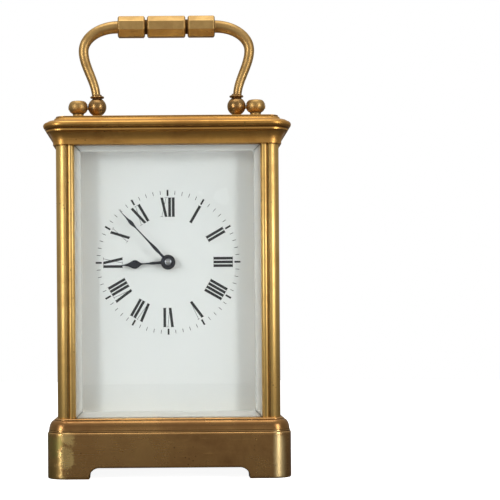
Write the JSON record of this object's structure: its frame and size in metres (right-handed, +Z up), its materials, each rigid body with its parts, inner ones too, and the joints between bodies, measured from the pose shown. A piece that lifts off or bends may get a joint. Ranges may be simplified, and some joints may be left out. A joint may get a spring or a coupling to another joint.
{
  "type": "mantel clock",
  "caption": "Glazed brass mantel clock with corner pillars, moulded base and cornice, folding bail handle, white dial, opening rear door and a striking movement with meshing wheels.",
  "frame": {"origin": "middle of the surface the clock stands on", "axes": "+Z up; the dial faces -Y; +X to the right of someone reading the dial"},
  "size_m": [0.0966, 0.0862, 0.1864],
  "materials": {
    "case_brass": "antique lacquered brass, worn and tarnished",
    "pillar_brass": "brighter drawn brass with fine lengthwise marks",
    "handle_brass": "handled brass, olive gold with dark recesses",
    "plate_brass": "grained movement brass",
    "wheel_brass": "fine turned brass",
    "enamel": "white vitreous enamel with black numerals",
    "blued_steel": "blued steel",
    "arbor_steel": "polished grey steel",
    "clear_glass": "clear glass with polished bevels"
  },
  "bodies": {
    "case": {"base_moulding": "case_brass", "base_floor": "plate_brass", "pillar_front_left": "pillar_brass", "pillar_front_right": "pillar_brass", "pillar_rear_left": "pillar_brass", "pillar_rear_right": "pillar_brass", "case_screws": "arbor_steel", "cornice": "case_brass", "glass_front": "clear_glass", "glass_left": "clear_glass", "glass_right": "clear_glass", "glass_top": "clear_glass", "handle_posts": "handle_brass", "handle_pivots": "arbor_steel", "dial_plate": "enamel", "dial_feet": "pillar_brass", "front_plate": "plate_brass", "back_plate": "plate_brass", "movement_pillars": "plate_brass", "plate_screws": "blued_steel", "mainsprings": "blued_steel", "platform": "plate_brass", "balance_cock": "plate_brass", "hairspring": "blued_steel", "gong": "blued_steel", "gong_block": "plate_brass"},
    "rear_door": {"rear_door_frame": "pillar_brass", "rear_door_glass": "clear_glass", "rear_door_knob": "pillar_brass"},
    "handle": {"handle_bail": "handle_brass", "handle_grip": "handle_brass"},
    "minute_hand": {"minute_hand": "blued_steel", "hand_nut": "arbor_steel", "centre_arbor": "arbor_steel", "centre_wheel": "wheel_brass", "cannon_pinion": "arbor_steel"},
    "hour_hand": {"hour_hand": "blued_steel", "hour_wheel": "wheel_brass"},
    "minute_wheel": {"minute_wheel": "wheel_brass"},
    "intermediate_wheel": {"intermediate_wheel": "wheel_brass"},
    "time_barrel": {"time_barrel": "wheel_brass"},
    "third_wheel": {"third_wheel": "wheel_brass"},
    "contrate_wheel": {"contrate_wheel": "wheel_brass"},
    "escape_wheel": {"escape_wheel": "wheel_brass"},
    "pallet_lever": {"pallet_lever": "arbor_steel"},
    "balance": {"balance_wheel": "wheel_brass"},
    "time_arbor": {"time_barrel_arbor": "arbor_steel", "time_ratchet": "arbor_steel"},
    "time_click": {"time_click": "arbor_steel"},
    "pin_wheel": {"pin_wheel": "wheel_brass"},
    "strike_barrel": {"strike_barrel": "wheel_brass"},
    "strike_third_wheel": {"strike_third_wheel": "wheel_brass"},
    "warning_wheel": {"warning_wheel": "wheel_brass"},
    "fly": {"fly": "arbor_steel"},
    "strike_arbor": {"strike_barrel_arbor": "arbor_steel", "strike_ratchet": "arbor_steel"},
    "strike_click": {"strike_click": "arbor_steel"},
    "hammer": {"hammer": "arbor_steel"},
    "strike_rack": {"strike_rack": "arbor_steel"}
  },
  "joints": [
    {"name": "handle_fold", "type": "hinge", "parent": "case", "child": "handle", "pos_m": [0, 0, 0.1492], "axis": [1, 0, 0], "range_deg": [-95, 95]},
    {"name": "rear_door_swing", "type": "hinge", "parent": "case", "child": "rear_door", "pos_m": [-0.03415, 0.0365, 0.076], "axis": [0, 0, 1], "range_deg": [0, 110]},
    {"name": "minute_hand_turn", "type": "hinge", "parent": "case", "child": "minute_hand", "pos_m": [0, 0, 0.0838], "axis": [0, 1, 0], "continuous": true},
    {"name": "hour_hand_turn", "type": "hinge", "parent": "case", "child": "hour_hand", "pos_m": [0, -0.02, 0.0838], "axis": [0, 1, 0], "continuous": true},
    {"name": "minute_wheel_turn", "type": "hinge", "parent": "case", "child": "minute_wheel", "pos_m": [0.00603, -0.016, 0.07336], "axis": [0, 1, 0], "continuous": true},
    {"name": "intermediate_turn", "type": "hinge", "parent": "case", "child": "intermediate_wheel", "pos_m": [0.01188, 0, 0.07689], "axis": [0, 1, 0], "continuous": true},
    {"name": "time_barrel_turn", "type": "hinge", "parent": "case", "child": "time_barrel", "pos_m": [0.0158, 0, 0.06], "axis": [0, 1, 0], "continuous": true},
    {"name": "third_wheel_turn", "type": "hinge", "parent": "case", "child": "third_wheel", "pos_m": [0.0072, 0, 0.09464], "axis": [0, 1, 0], "continuous": true},
    {"name": "contrate_wheel_turn", "type": "hinge", "parent": "case", "child": "contrate_wheel", "pos_m": [0.009, 0, 0.1075], "axis": [0, 1, 0], "continuous": true},
    {"name": "escape_wheel_turn", "type": "hinge", "parent": "case", "child": "escape_wheel", "pos_m": [0.009, 0.00268, 0.125], "axis": [0, 0, 1], "continuous": true},
    {"name": "pallet_lever_swing", "type": "hinge", "parent": "case", "child": "pallet_lever", "pos_m": [0.0041, 0.00268, 0.129], "axis": [0, 0, 1], "range_deg": [-5, 5]},
    {"name": "balance_swing", "type": "hinge", "parent": "case", "child": "balance", "pos_m": [-0.0032, 0.00268, 0.132], "axis": [0, 0, 1], "range_deg": [-135, 135], "deforming": ["hairspring"]},
    {"name": "time_winding", "type": "hinge", "parent": "case", "child": "time_arbor", "pos_m": [0.0158, 0, 0.06], "axis": [0, 1, 0], "continuous": true},
    {"name": "time_click_lift", "type": "hinge", "parent": "case", "child": "time_click", "pos_m": [0.0214, -0.015, 0.0686], "axis": [0, 1, 0], "range_deg": [-18, 0]},
    {"name": "pin_wheel_turn", "type": "hinge", "parent": "case", "child": "pin_wheel", "pos_m": [-0.01999, 0, 0.07682], "axis": [0, 1, 0], "continuous": true},
    {"name": "strike_barrel_turn", "type": "hinge", "parent": "case", "child": "strike_barrel", "pos_m": [-0.0158, 0, 0.06], "axis": [0, 1, 0], "continuous": true},
    {"name": "strike_third_turn", "type": "hinge", "parent": "case", "child": "strike_third_wheel", "pos_m": [-0.01422, 0, 0.08769], "axis": [0, 1, 0], "continuous": true},
    {"name": "warning_wheel_turn", "type": "hinge", "parent": "case", "child": "warning_wheel", "pos_m": [-0.01808, 0, 0.09724], "axis": [0, 1, 0], "continuous": true},
    {"name": "fly_turn", "type": "hinge", "parent": "case", "child": "fly", "pos_m": [-0.01499, 0, 0.10571], "axis": [0, 1, 0], "continuous": true},
    {"name": "strike_winding", "type": "hinge", "parent": "case", "child": "strike_arbor", "pos_m": [-0.0158, 0, 0.06], "axis": [0, 1, 0], "continuous": true},
    {"name": "strike_click_lift", "type": "hinge", "parent": "case", "child": "strike_click", "pos_m": [-0.0102, -0.015, 0.0686], "axis": [0, 1, 0], "range_deg": [-18, 0]},
    {"name": "hammer_lift", "type": "hinge", "parent": "case", "child": "hammer", "pos_m": [-0.0275, 0, 0.091], "axis": [0, 1, 0], "range_deg": [-3, 12]},
    {"name": "rack_fall", "type": "hinge", "parent": "case", "child": "strike_rack", "pos_m": [-0.0255, -0.02, 0.066], "axis": [0, 1, 0], "range_deg": [0, 13.6]}
  ],
  "couplings": [
    {"joint": "hour_hand_turn", "follows": "minute_hand_turn", "ratio": 0.083333},
    {"joint": "minute_wheel_turn", "follows": "minute_hand_turn", "ratio": -0.33333},
    {"joint": "intermediate_turn", "follows": "minute_hand_turn", "ratio": -0.2},
    {"joint": "time_barrel_turn", "follows": "minute_hand_turn", "ratio": 0.028571},
    {"joint": "third_wheel_turn", "follows": "minute_hand_turn", "ratio": -8},
    {"joint": "contrate_wheel_turn", "follows": "minute_hand_turn", "ratio": 60},
    {"joint": "escape_wheel_turn", "follows": "minute_hand_turn", "ratio": 600},
    {"joint": "strike_barrel_turn", "follows": "pin_wheel_turn", "ratio": -0.14286},
    {"joint": "strike_third_turn", "follows": "pin_wheel_turn", "ratio": -8},
    {"joint": "warning_wheel_turn", "follows": "pin_wheel_turn", "ratio": 56},
    {"joint": "fly_turn", "follows": "pin_wheel_turn", "ratio": -392}
  ]
}
